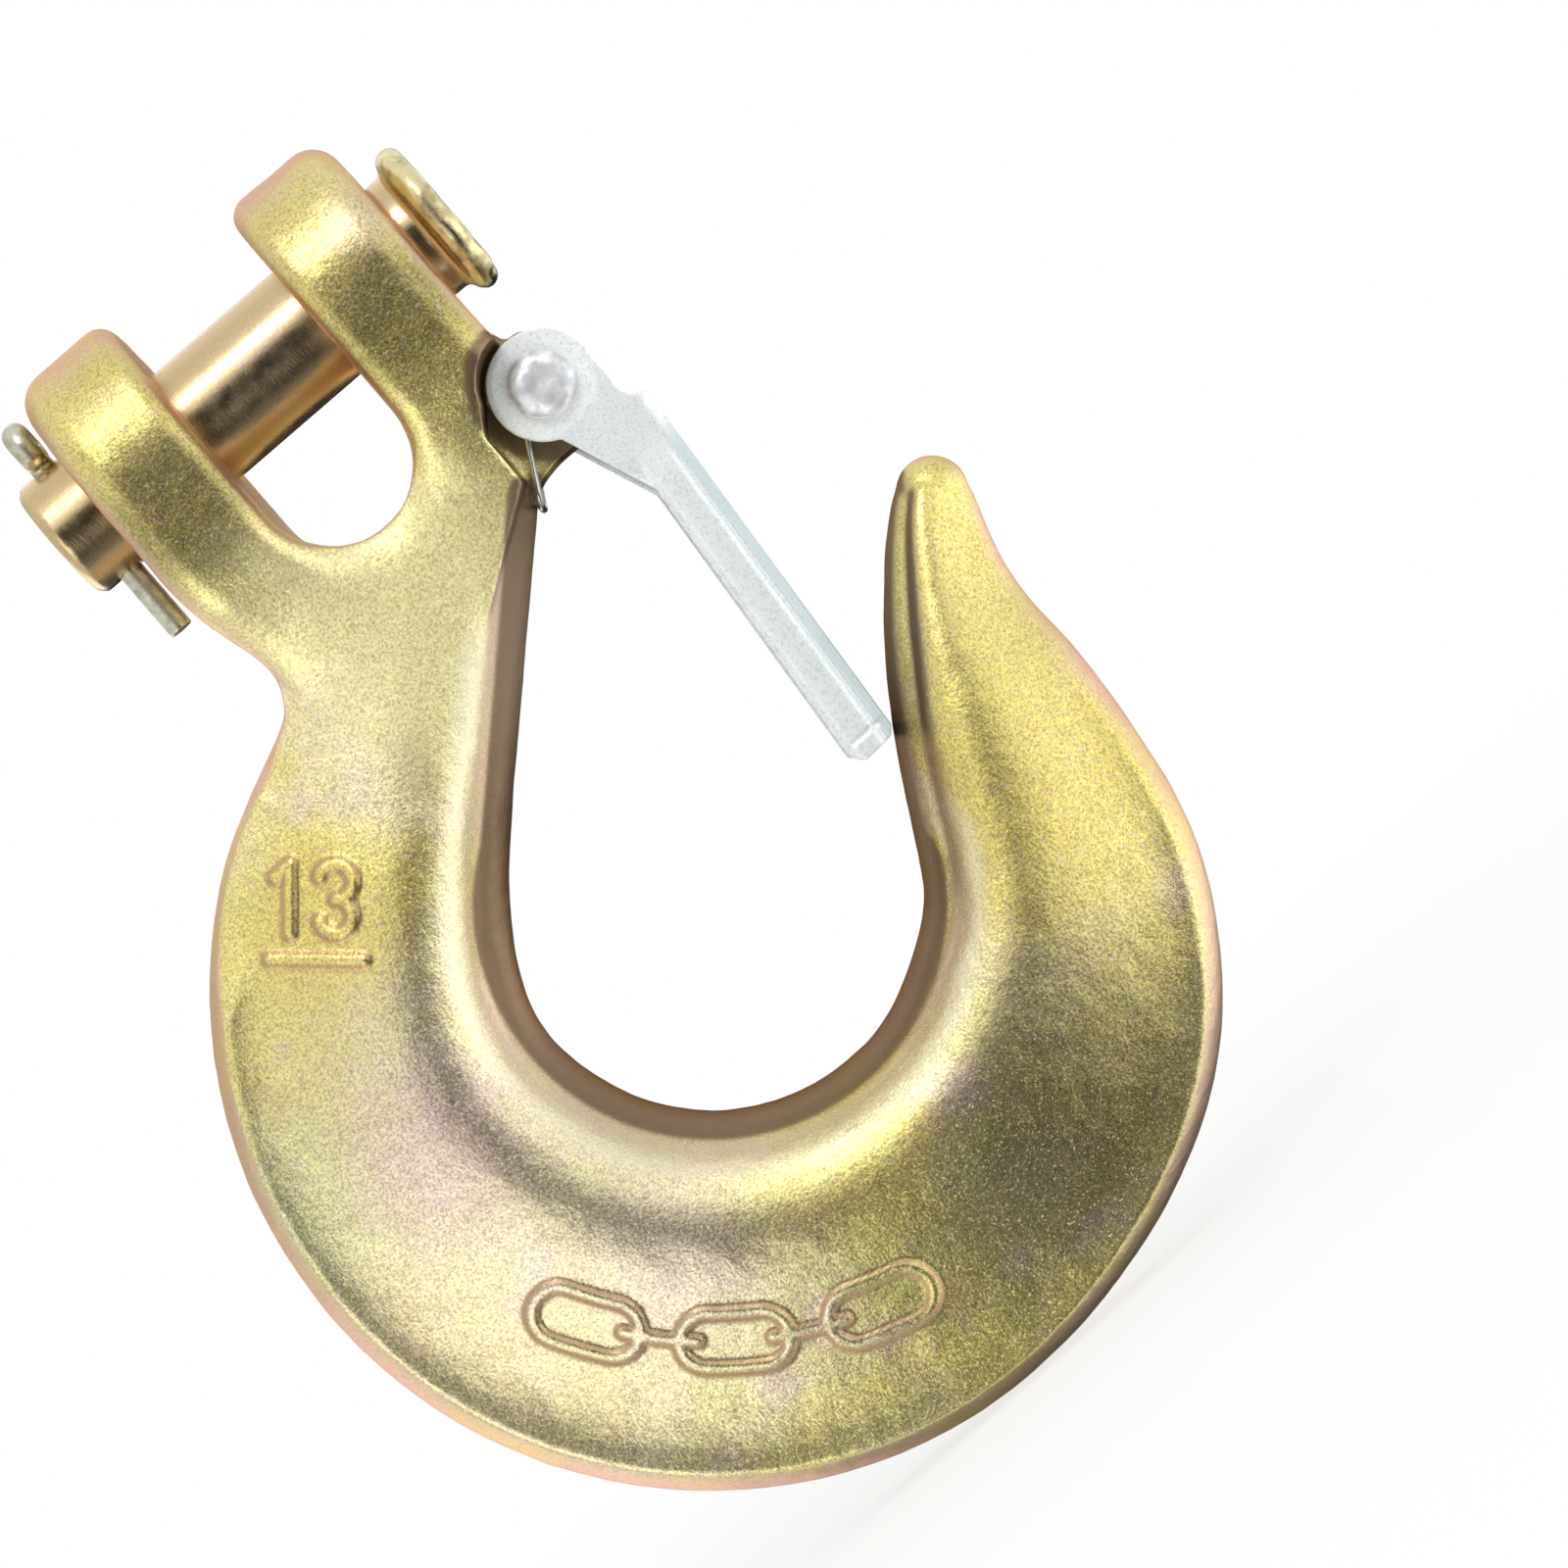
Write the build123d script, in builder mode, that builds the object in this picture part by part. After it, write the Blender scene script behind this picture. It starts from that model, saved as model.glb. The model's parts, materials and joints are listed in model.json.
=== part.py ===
"""Clevis slip hook with a sprung safety latch, for 1/2-inch chain.

Frame: the origin is the middle of the clevis pin's axis. +Z runs up the line of the pull,
+X runs along the clevis pin towards its head, and the hook is symmetric about Y = 0.
All lengths are in millimetres. Points given as pairs are (X, Z) in the hook's front view.
"""

from build123d import *
from math import cos, hypot, radians, sin
import os

os.makedirs("parts", exist_ok=True)

running_gap = 0.08  # radial clearance of every pin in its hole

# ---- clevis -------------------------------------------------------------------------
pin_radius = 7.95  # 5/8-inch clevis pin
gap_half = 9.5  # half the space between the ears
ear_outer = 23.8  # X of the ears' outer faces
eye_radius = 16.7  # round top of the ears, about the pin's axis
crotch_z = -15.0  # centre of the round bottom of the gap
shoulder_z = -13.0  # below this the clevis thins towards the neck
neck_z = -27.0
neck_half = 13.2
waist_x = -21.2  # the clevis's back at its narrowest, just above the arm's back
waist_z = -29.0
root_x = -6.0
root_z = -46.0  # lower end of the clevis block, buried in the arm
root_half = 9.0
gusset_half = 9.0
ear_rounding = 4.0
gap_rounding = 2.6

# ---- hook arm -----------------------------------------------------------------------
bowl_centre = (0.0, -82.5)
bowl_radius = 24.8
back_centre = (-7.0, -90.4)
back_radius = 59.3
throat_top = (15.4, -33.2)  # upper end of the straight throat face of the neck
throat_slope = 44.4  # degrees between the throat face and the pin's axis
tip_centre = (51.6, -62.8)
tip_radius = 4.3
wall_depth = 3.3  # how far the rounded throat face stands in front of its rim
wall_share = 0.60  # the rim's share of the thickness at the crest
crest_at = 9.5  # distance of the thickest line from the throat
flank_depth = 2.8  # depth of the rounded outer edge

# ---- latch, its lug and its rivet ---------------------------------------------------
pivot = (24.7, -23.8)
lug_half = 4.0
lug_root = 12.0  # X of the lug's end inside the body
lug_neck = (25.2, -16.0)
lug_foot = (25.5, -31.8)
lug_reach = 6.1  # from the pivot to the lug's outer edge
recess_radius = 8.7
thick_edge = 15.6  # X of the thick body's edge beside the lug
sheet = 1.6
cheek_inner = 7.4
cheek_outer = cheek_inner + sheet
disc_radius = 6.65
disc_right = 31.2  # X of the straight edge beside the round cheek
web_top = (33.6, -32.0)
web_end = (29.7, -80.5)
arm_knee = (26.7, -41.5)  # where the arm's inner edge turns
arm_heel = (23.4, -80.2)
bend_radius = 1.5
rivet_radius = 2.4
rivet_head_radius = 4.1
rivet_head_height = 2.3
rivet_rim = 0.5  # straight edge of the rivet's heads
head_gap = 0.1

# ---- latch spring -------------------------------------------------------------------
wire_radius = 0.45
coil_radius = 3.15
coil_pitch = 0.93
coil_turns = 2.4
side_gap = 0.1  # between the coil and the lug
strand_lean = 29.2  # degrees between the U-loop's strands and the line of the pull
strand_length = 13.6
loop_radius = 1.6
leg_length = 21.0
leg_set = 0.4  # how far each leg leans away from its cheek

# ---- clevis pin ---------------------------------------------------------------------
pin_tail = -31.0
pin_tail_chamfer = 0.9
collar_start = 23.95
collar_end = 25.7
collar_radius = 8.2
head_start = 26.6
head_end = 30.0
head_radius = 10.4
head_rounding = 1.4

# ---- cotter pin ---------------------------------------------------------------------
cotter_x = -26.5
cotter_radius = 1.6  # of the wire at the eye
leg_radius = 1.55  # of the two legs together
leg_split = 0.3  # slot between the two half-round legs
leg_overlap = 1.4  # how far the legs run up into the eye's wire
cotter_tip = -17.1
eye_centre_z = 11.3
eye_outer = 3.5


def bowl_point(angle):
    """A point of the round seat at an angle in degrees."""
    a = radians(angle)
    return (bowl_centre[0] + bowl_radius * cos(a), bowl_centre[1] + bowl_radius * sin(a))


def back_point(angle, swell=0.0):
    """A point of the outer edge at an angle in degrees, moved outwards by the swell."""
    a = radians(angle)
    radius = back_radius + swell
    return (back_centre[0] + radius * cos(a), back_centre[1] + radius * sin(a))


def throat_point(distance):
    """A point of the straight throat face, measured down from its upper end."""
    a = radians(throat_slope)
    return (throat_top[0] - distance * cos(a), throat_top[1] - distance * sin(a))


def section_plane(inner, outer):
    """The plane of a cross-section: local x from the inner edge outwards, local y along Y."""
    across = Vector(outer[0] - inner[0], 0, outer[1] - inner[1])
    return Plane((inner[0], 0, inner[1]), x_dir=across, z_dir=across.cross(Vector(0, 1, 0)))


# Cross-sections from the clevis round to the tip: a point on the inner edge, a point on the
# outer edge, half the thickness at the crest, and the outer edge's share of that thickness.
stations = [
    (throat_top, (-20.9, -29.2), 12.6, 0.80),
    (throat_point(6), (-22.6, -31.6), 12.6, 0.78),
    (throat_point(16), back_point(110), 12.7, 0.75),
    (throat_point(27), back_point(122), 12.8, 0.70),
    (throat_point(38), back_point(136), 12.9, 0.66),
    ((-19.4, -68.6), back_point(149), 13.0, 0.64),
    (bowl_point(172), back_point(164), 13.0, 0.62),
    (bowl_point(195), back_point(183), 13.0, 0.60),
    (bowl_point(218), back_point(206), 13.0, 0.60),
    (bowl_point(241), back_point(232), 13.0, 0.60),
    (bowl_point(264), back_point(260), 12.9, 0.60),
    (bowl_point(288), back_point(291, 0.3), 12.6, 0.60),
    (bowl_point(308), back_point(315, 1.5), 12.1, 0.60),
    ((20.2, -97.6), back_point(334, 1.1), 11.4, 0.60),
    ((24.6, -89.8), back_point(349), 10.6, 0.60),
    ((29.4, -81.6), (52.3, -87.2), 9.6, 0.60),
    ((34.6, -73.9), (52.1, -79.6), 8.3, 0.60),
    ((40.2, -67.2), (53.0, -72.8), 6.9, 0.62),
    ((44.9, -62.5), (54.6, -67.8), 5.6, 0.64),
    ((48.3, -59.9), (55.4, -64.9), 4.7, 0.66),
]

# The arm: rounded throat face, rounded band up to a crest, web falling to a rounded back.
with BuildPart() as hook_arm:
    for inner, outer, half, edge_share in stations:
        width = hypot(outer[0] - inner[0], outer[1] - inner[1])
        wall = min(wall_depth, 0.20 * width)
        rim = wall_share * half
        crest = min(crest_at, 0.38 * width)
        flank = width - min(flank_depth, 0.20 * width)
        edge = edge_share * half
        web = (crest + flank) / 2
        web_half = half - 0.36 * (half - edge)
        with BuildSketch(section_plane(inner, outer)):
            with BuildLine():
                ThreePointArc((wall, -rim), (0, 0), (wall, rim))
                Spline((wall, rim), (crest, half), (web, web_half), (flank, edge))
                ThreePointArc((flank, edge), (width, 0), (flank, -edge))
                Spline((flank, -edge), (web, -web_half), (crest, -half), (wall, -rim))
            make_face()
    loft()


def is_front_outline(edge):
    """True for an edge that belongs to the block's front or back outline."""
    return abs(edge.tangent_at(0.5).Y) < 0.9 or edge.geom_type != GeomType.LINE


# The clevis: a block with a round top seen along the pin, cut to its front outline.
with BuildPart() as clevis:
    with BuildSketch(Plane.XZ):
        with BuildLine():
            Polyline(
                (-ear_outer, shoulder_z),
                (-ear_outer, eye_radius),
                (ear_outer, eye_radius),
                (ear_outer, pivot[1]),
                (thick_edge, pivot[1]),
                (thick_edge, throat_top[1] + 2),
                (root_x, root_z),
                (waist_x, root_z),
                (waist_x, waist_z),
            )
            Spline((waist_x, waist_z), (-22.6, -22.0), (-ear_outer, shoulder_z), tangents=((0, 1), (0, 1)))
        make_face()
    extrude(amount=eye_radius, both=True)
    with BuildSketch(Plane.YZ):
        with BuildLine():
            ThreePointArc((eye_radius, 0), (0, eye_radius), (-eye_radius, 0))
            Line((-eye_radius, 0), (-eye_radius, shoulder_z))
            Spline(
                (-eye_radius, shoulder_z),
                (-neck_half, neck_z),
                (-root_half, root_z),
                tangents=((0, -1), (0.3, -1)),
            )
            Line((-root_half, root_z), (root_half, root_z))
            Spline(
                (root_half, root_z),
                (neck_half, neck_z),
                (eye_radius, shoulder_z),
                tangents=((0.3, 1), (0, 1)),
            )
            Line((eye_radius, shoulder_z), (eye_radius, 0))
        make_face()
    extrude(amount=2 * ear_outer, both=True, mode=Mode.INTERSECT)
    with BuildSketch(Plane.XZ):
        with Locations((0, crotch_z)):
            Circle(gap_half)
            Rectangle(2 * gap_half, 2 * (eye_radius - crotch_z), align=(Align.CENTER, Align.MIN))
    extrude(amount=2 * eye_radius, both=True, mode=Mode.SUBTRACT)
    outlines = clevis.edges().filter_by(is_front_outline)
    gap_rims = outlines.filter_by(lambda e: abs(e.center().X) < gap_half + 0.1 and e.center().Z > waist_z)
    outer_rims = outlines.filter_by(lambda e: abs(e.center().X) > -waist_x - 0.1)
    fillet(gap_rims, gap_rounding)
    fillet(outer_rims.filter_by(lambda e: abs(e.center().Y) > 1 or e.center().Z > gap_half), ear_rounding)

# The whole forging: arm, clevis, tip and the thin lug that carries the latch.
with BuildPart() as hook_body:
    add(hook_arm.part)
    add(clevis.part)
    with Locations((tip_centre[0], 0, tip_centre[1])):
        Sphere(tip_radius)
    # fillet between the clevis and the back of the arm
    with BuildSketch(Plane.XZ):
        with BuildLine():
            Polyline(
                (waist_x - 0.1, waist_z + 1.5),
                (waist_x + 3, waist_z + 1.5),
                (waist_x + 3, -37),
                (-27.5, -37),
                (-27.5, -34.9),
            )
            ThreePointArc((-27.5, -34.9), (-22.7, -32.4), (waist_x - 0.1, waist_z + 1.5))
        make_face()
    extrude(amount=gusset_half, both=True)
    # round recesses in which the latch's cheeks turn
    with BuildSketch(Plane.XZ):
        with Locations(pivot):
            Circle(recess_radius)
    extrude(amount=2 * eye_radius, both=True, mode=Mode.SUBTRACT)
    # the lug left between the recesses
    throat_corner = (throat_top[0] - 0.2, throat_top[1] + 0.4)
    with BuildSketch(Plane.XZ):
        with BuildLine():
            Polyline(
                throat_corner,
                (lug_root, throat_top[1] - 2),
                (lug_root, shoulder_z + 1),
                (ear_outer - 0.4, shoulder_z + 1),
                lug_neck,
            )
            ThreePointArc(lug_neck, (pivot[0] + lug_reach, pivot[1]), lug_foot)
            ThreePointArc(lug_foot, (20.6, -31.3), throat_corner)
        make_face()
    extrude(amount=lug_half, both=True)
    # holes for the rivet and for the clevis pin
    with BuildSketch(Plane.XZ):
        with Locations(pivot):
            Circle(rivet_radius + running_gap)
    extrude(amount=2 * eye_radius, both=True, mode=Mode.SUBTRACT)
    with BuildSketch(Plane.YZ):
        Circle(pin_radius + running_gap)
    extrude(amount=2 * ear_outer, both=True, mode=Mode.SUBTRACT)

# The latch: a folded channel, open towards the neck, with two round cheeks on the rivet.
with BuildPart() as latch:
    with BuildSketch(Plane.XZ):
        with BuildLine():
            Polyline(
                pivot,
                (pivot[0] - 2.6, pivot[1] - 5.9),
                arm_knee,
                arm_heel,
                (arm_heel[0] + 1.4, web_end[1] - 1.3),
                (web_end[0] - 0.9, web_end[1] - 1.0),
                web_end,
                web_top,
            )
            ThreePointArc(web_top, (31.6, -30.9), (disc_right, -28.6))
            Polyline((disc_right, -28.6), (disc_right, pivot[1]), pivot)
        make_face()
        with Locations(pivot):
            Circle(disc_radius)
    extrude(amount=cheek_outer, both=True)
    web_rims = latch.edges().filter_by(lambda e: e.center().X > disc_right and e.length > leg_length)
    fillet(web_rims.filter_by(lambda e: abs(e.center().Y) > 1), bend_radius)
    with BuildSketch(Plane.XZ):
        with BuildLine():
            Polyline(
                (web_top[0] - sheet, web_top[1]),
                (web_end[0] - sheet, web_end[1]),
                (web_end[0] - sheet, web_end[1] - disc_radius),
                (0, web_end[1] - disc_radius),
                (0, 0),
                (web_top[0] + sheet, 0),
                (web_top[0] + sheet, web_top[1]),
                close=True,
            )
        make_face()
    extrude(amount=cheek_inner, both=True, mode=Mode.SUBTRACT)
    with BuildSketch(Plane.XZ):
        with Locations(pivot):
            Circle(rivet_radius + running_gap)
    extrude(amount=2 * cheek_outer, both=True, mode=Mode.SUBTRACT)

# The rivet on which the latch swings, headed over on both sides.
with BuildPart() as latch_rivet:
    with BuildSketch(Plane.XY.offset(pivot[1])):
        head_face = cheek_outer + head_gap
        head_rim = pivot[0] + rivet_head_radius
        head_top = (pivot[0], head_face + rivet_head_height)
        with BuildLine():
            Polyline(
                (pivot[0] + rivet_radius, 0),
                (pivot[0] + rivet_radius, head_face),
                (head_rim, head_face),
                (head_rim, head_face + rivet_rim),
            )
            Spline((head_rim, head_face + rivet_rim), head_top, tangents=((0, 1), (-1, 0)))
            mirror(about=Plane.XZ)
            Line(head_top, (pivot[0], -head_top[1]))
        make_face()
    pivot_axis = Axis((pivot[0], 0, pivot[1]), (0, 1, 0))
    revolve(axis=pivot_axis)

# The double torsion spring: one side is bent up here and mirrored. Its U-loop lies on the
# throat face of the neck, and its legs press the latch's web from inside.
with BuildPart() as latch_spring:
    coil_side = lug_half + side_gap + wire_radius
    turns = Helix(
        coil_pitch,
        coil_pitch * coil_turns,
        coil_radius,
        center=(pivot[0], coil_side, pivot[1]),
        direction=(0, 1, 0),
        mode=Mode.PRIVATE,
    ).rotate(pivot_axis, strand_lean - 90)
    up = Vector(sin(radians(strand_lean)), 0, cos(radians(strand_lean)))
    down_leg = Vector((turns % 1).X, 0, (turns % 1).Z)
    leg_end = turns @ 1 + leg_length * down_leg - Vector(0, leg_set, 0)
    loop_start = turns @ 0 - (strand_length - loop_radius) * up
    loop_end = loop_start - loop_radius * up - Vector(0, loop_radius, 0)
    loop_middle = loop_start - loop_radius * (sin(radians(45)) * up + Vector(0, 1 - cos(radians(45)), 0))
    with BuildLine() as wire:
        Line((loop_end.X, 0, loop_end.Z), loop_end)
        ThreePointArc(loop_end, loop_middle, loop_start)
        Spline(loop_start, turns @ 0, tangents=(up, turns % 0))
        add(turns)
        Spline(turns @ 1, leg_end, tangents=(turns % 1, down_leg))
    with BuildSketch(Plane.XZ):
        with Locations((loop_end.X, loop_end.Z)):
            Circle(wire_radius)
    sweep(path=wire.wires()[0])
    mirror(about=Plane.XZ)

# The clevis pin: turned, with a collar and a flared disc head, cross-drilled near its tail.
with BuildPart() as clevis_pin:
    with BuildSketch(Plane.XY):
        flare_end = (head_start, head_radius - head_rounding)
        face_edge = (head_end, head_radius - head_rounding)
        with BuildLine():
            Polyline(
                face_edge,
                (head_end, 0),
                (pin_tail, 0),
                (pin_tail, pin_radius - pin_tail_chamfer),
                (pin_tail + pin_tail_chamfer, pin_radius),
                (collar_start, pin_radius),
                (collar_start, collar_radius),
                (collar_end, collar_radius),
            )
            ThreePointArc((collar_end, collar_radius), (collar_end + 0.62, collar_radius + 0.22), flare_end)
            ThreePointArc(flare_end, ((head_start + head_end) / 2, head_radius), face_edge)
        make_face()
    revolve(axis=Axis.X)
    with BuildSketch(Plane.XY):
        with Locations((cotter_x, 0)):
            Circle(leg_radius + running_gap)
    extrude(amount=2 * pin_radius, both=True, mode=Mode.SUBTRACT)

# The cotter pin: half-round wire bent to an eye, with two straight legs side by side.
with BuildPart() as cotter_pin:
    with BuildSketch(Plane.XZ):
        with Locations((cotter_x, eye_centre_z + eye_outer - cotter_radius)):
            Circle(cotter_radius)
            Rectangle(
                2 * cotter_radius, cotter_radius, align=(Align.CENTER, Align.MAX), mode=Mode.SUBTRACT
            )
    revolve(axis=Axis((cotter_x, 0, eye_centre_z), (1, 0, 0)))
    with BuildSketch(Plane.XY.offset(cotter_tip)):
        with Locations((cotter_x, 0)):
            Circle(leg_radius)
            Rectangle(2 * leg_radius, leg_split, mode=Mode.SUBTRACT)
    extrude(amount=eye_centre_z - eye_outer + leg_overlap - cotter_tip)

hook_body.part.label = "hook_body"
export_step(hook_body.part, "parts/hook_body.step")
latch.part.label = "latch"
export_step(latch.part, "parts/latch.step")
latch_rivet.part.label = "latch_rivet"
export_step(latch_rivet.part, "parts/latch_rivet.step")
latch_spring.part.label = "latch_spring"
export_step(latch_spring.part, "parts/latch_spring.step")
clevis_pin.part.label = "clevis_pin"
export_step(clevis_pin.part, "parts/clevis_pin.step")
cotter_pin.part.label = "cotter_pin"
export_step(cotter_pin.part, "parts/cotter_pin.step")
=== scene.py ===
import json
import math

import bpy
import numpy as np
from mathutils import Matrix, Vector


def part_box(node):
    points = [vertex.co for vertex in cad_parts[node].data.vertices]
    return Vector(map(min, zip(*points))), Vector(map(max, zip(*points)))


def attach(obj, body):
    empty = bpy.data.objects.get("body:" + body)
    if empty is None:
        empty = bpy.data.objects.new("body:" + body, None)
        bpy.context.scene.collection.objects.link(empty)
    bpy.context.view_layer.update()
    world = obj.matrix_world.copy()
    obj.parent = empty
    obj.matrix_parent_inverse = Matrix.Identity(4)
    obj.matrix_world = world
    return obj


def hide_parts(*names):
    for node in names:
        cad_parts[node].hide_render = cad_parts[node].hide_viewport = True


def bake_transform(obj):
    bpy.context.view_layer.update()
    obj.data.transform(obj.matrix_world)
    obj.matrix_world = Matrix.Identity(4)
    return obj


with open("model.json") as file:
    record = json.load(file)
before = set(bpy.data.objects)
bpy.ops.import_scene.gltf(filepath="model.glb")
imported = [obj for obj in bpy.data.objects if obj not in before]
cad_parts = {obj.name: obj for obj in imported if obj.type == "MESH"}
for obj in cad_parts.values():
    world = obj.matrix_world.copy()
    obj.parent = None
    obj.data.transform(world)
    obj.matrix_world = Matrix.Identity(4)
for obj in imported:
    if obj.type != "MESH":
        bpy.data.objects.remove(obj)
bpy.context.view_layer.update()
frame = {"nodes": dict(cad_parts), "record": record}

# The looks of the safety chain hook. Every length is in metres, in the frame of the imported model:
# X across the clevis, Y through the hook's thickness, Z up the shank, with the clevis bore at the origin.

MM = 0.001

# ---------------------------------------------------------------- mesh helpers


def copy_of(node, name):
    """A loose copy of a CAD node's mesh, in the row frame."""
    source = frame["nodes"][node]
    mesh = source.data.copy()
    mesh.transform(source.matrix_world)
    mesh.materials.clear()
    piece = bpy.data.objects.new(name, mesh)
    bpy.context.scene.collection.objects.link(piece)
    return piece


def bake(piece):
    """Turns the piece's modifiers into its mesh."""
    graph = bpy.context.evaluated_depsgraph_get()
    graph.update()
    mesh = bpy.data.meshes.new_from_object(piece.evaluated_get(graph))
    piece.modifiers.clear()
    piece.data = mesh


def remesh(piece, voxel, softness, passes):
    """Rebuilds the mesh as an even net of small squares and softens its edges."""
    net = piece.modifiers.new("net", "REMESH")
    net.mode = "VOXEL"
    net.voxel_size = voxel
    soft = piece.modifiers.new("soft", "SMOOTH")
    soft.factor = softness
    soft.iterations = passes
    bake(piece)
    piece.data.polygons.foreach_set("use_smooth", [True] * len(piece.data.polygons))


def points_of(piece):
    """The piece's vertices as an array, one row each."""
    flat = np.empty(len(piece.data.vertices) * 3)
    piece.data.vertices.foreach_get("co", flat)
    return flat.reshape(-1, 3)


def normals_of(piece):
    """The vertex normals as an array, one row each."""
    flat = np.empty(len(piece.data.vertices) * 3, np.float32)
    piece.data.vertex_normals.foreach_get("vector", flat)
    return flat.reshape(-1, 3).astype(float)


def set_points(piece, points):
    """Moves the vertices to new places."""
    piece.data.vertices.foreach_set("co", points.ravel())
    piece.data.update()


def keep_value(piece, name, values):
    """Stores one number per vertex for the piece's material."""
    attribute = piece.data.attributes.new(name, "FLOAT", "POINT")
    attribute.data.foreach_set("value", values.astype(np.float32))


def smoothstep(low, high, value):
    """0 below low, 1 above high, with a soft turn in between."""
    share = np.clip((value - low) / (high - low), 0, 1)
    return share * share * (3 - 2 * share)


def lumps(points, size, seed):
    """Seeded random lumps about `size` across, from -0.5 to 0.5."""
    cells = 48
    table = np.random.default_rng(seed).random((cells, cells, cells)) - 0.5
    place = points / size
    corner = np.floor(place).astype(int)
    share = place - corner
    share = share * share * (3 - 2 * share)
    total = np.zeros(len(points))
    for dx in (0, 1):
        for dy in (0, 1):
            for dz in (0, 1):
                weight = np.abs(1 - dx - share[:, 0])
                weight = weight * np.abs(1 - dy - share[:, 1])
                weight = weight * np.abs(1 - dz - share[:, 2])
                index = (corner + (dx, dy, dz)) % cells
                total += weight * table[index[:, 0], index[:, 1], index[:, 2]]
    return total


def segment_distance(u, v, start, end):
    """How far each point is from a straight stroke."""
    du = end[0] - start[0]
    dv = end[1] - start[1]
    along = ((u - start[0]) * du + (v - start[1]) * dv) / (du * du + dv * dv)
    along = np.clip(along, 0, 1)
    return np.hypot(u - start[0] - along * du, v - start[1] - along * dv)


def relax(piece, points, weights, rounds, axes):
    """Evens out the surface along the given axes, where the weights are above 0."""
    ends = np.empty(len(piece.data.edges) * 2, np.int64)
    piece.data.edges.foreach_get("vertices", ends)
    ends = ends.reshape(-1, 2)
    ends = ends[(weights[ends[:, 0]] > 0) | (weights[ends[:, 1]] > 0)]
    count = np.bincount(ends.ravel(), minlength=len(points))
    count = np.maximum(count, 1)
    for axis in axes:
        height = points[:, axis].copy()
        for _ in range(rounds):
            total = np.bincount(ends[:, 0], height[ends[:, 1]], len(points))
            total += np.bincount(ends[:, 1], height[ends[:, 0]], len(points))
            height += 0.8 * weights * (total / count - height)
        points[:, axis] = height


# ---------------------------------------------------------------- the hook's outline and its zones


def named(entries, name):
    """The entry with this name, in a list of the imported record."""
    return next(entry for entry in entries if entry["name"] == name)


# A place on the hook's face is a pair, X and Z. The camera is rolled by PICTURE_TURN.
LATCH_JOINT = named(frame["record"]["behaviour"]["joints"], "latch_swing")
PIVOT = (LATCH_JOINT["pos_m"][0], LATCH_JOINT["pos_m"][2])
BOWL_SEAT = named(frame["record"]["mounts"], "bowl_seat")
BOWL_RADIUS = BOWL_SEAT["dims"]["r_mm"] * MM
BOWL_CENTRE = (BOWL_SEAT["pos_m"][0], BOWL_SEAT["pos_m"][2] + BOWL_RADIUS)
PICTURE_TURN = math.radians(40.8)
THROAT_TOP = (15.4 * MM, -33.2 * MM)
THROAT_SLOPE = math.radians(44.4)
SHOULDER_STEP = (-27.9 * MM, -34.8 * MM)
WALL_WIDTH = 3.0 * MM
RECESS_FAR_SIDE = 128
RELIEF_FROM = 8.3 * MM
RELIEF_TO = 9.4 * MM


def throat_distance(x, z):
    """How far a point of the neck is from the straight edge of the throat."""
    rise = (z - THROAT_TOP[1]) * math.cos(THROAT_SLOPE)
    return rise - (x - THROAT_TOP[0]) * math.sin(THROAT_SLOPE)


def inside_wall(points):
    """How far inside the narrow wall's edge a point is, measured from the bowl and the throat."""
    x = points[:, 0]
    z = points[:, 2]
    from_bowl = np.abs(np.hypot(x - BOWL_CENTRE[0], z - BOWL_CENTRE[1]) - BOWL_RADIUS)
    down_throat = (THROAT_TOP[0] - BOWL_CENTRE[0]) * math.cos(THROAT_SLOPE)
    down_throat += (THROAT_TOP[1] - BOWL_CENTRE[1]) * math.sin(THROAT_SLOPE)
    foot = (
        THROAT_TOP[0] - down_throat * math.cos(THROAT_SLOPE),
        THROAT_TOP[1] - down_throat * math.sin(THROAT_SLOPE),
    )
    in_throat = WALL_WIDTH - segment_distance(x, z, THROAT_TOP, foot)
    tip_side = smoothstep(4 * MM, 22 * MM, x) * smoothstep(-98 * MM, -78 * MM, z)
    return np.maximum(WALL_WIDTH - from_bowl - 6 * MM * tip_side, in_throat)


def wall_share(points, normals):
    """1 on the narrow wall that faces into the bowl and the throat, and 0 on the faces; the hook's
    material paints shade there.
    """
    x = points[:, 0]
    z = points[:, 2]
    band = smoothstep(-0.3 * MM, 0.3 * MM, inside_wall(points))
    on_tip = smoothstep(11 * MM, 15 * MM, x) * smoothstep(-103 * MM, -97 * MM, z)
    on_tip *= 1 - smoothstep(-52 * MM, -48 * MM, z)
    facing_left = normals[:, 2] * math.sin(PICTURE_TURN) - normals[:, 0] * math.cos(PICTURE_TURN)
    return np.maximum(band, on_tip * smoothstep(0.70, 0.86, facing_left))


def crest_highlight_share(points):
    """1 on the rounded crest that runs beside the wall, and 0 away from it; the hook's material paints a
    highlight there.
    """
    past_wall = -inside_wall(points)
    share = smoothstep(0.1 * MM, 1.2 * MM, past_wall) * (1 - smoothstep(3 * MM, 5.5 * MM, past_wall))
    return share * (1 - smoothstep(-44 * MM, -38 * MM, points[:, 2]))


def tighten_recess(points):
    """Draws the recess in towards the latch's disc on its far side, which the arm never sweeps."""
    dx = points[:, 0] - PIVOT[0]
    dz = points[:, 2] - PIVOT[1]
    away = np.maximum(np.hypot(dx, dz), 0.1 * MM)
    turn = np.degrees(np.arctan2(dz, dx)) - RECESS_FAR_SIDE
    turn = np.abs(np.mod(turn + 180, 360) - 180)
    weights = 1 - smoothstep(30, 58, turn)
    before = (0, 5.5, 9.1, 13.5, 200)
    after = (0, 5.5, 7.5, 13.5, 200)
    nearer = np.interp(away / MM, before, after) * MM
    factor = 1 + weights * (nearer / away - 1)
    points[:, 0] = PIVOT[0] + dx * factor
    points[:, 2] = PIVOT[1] + dz * factor


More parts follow.
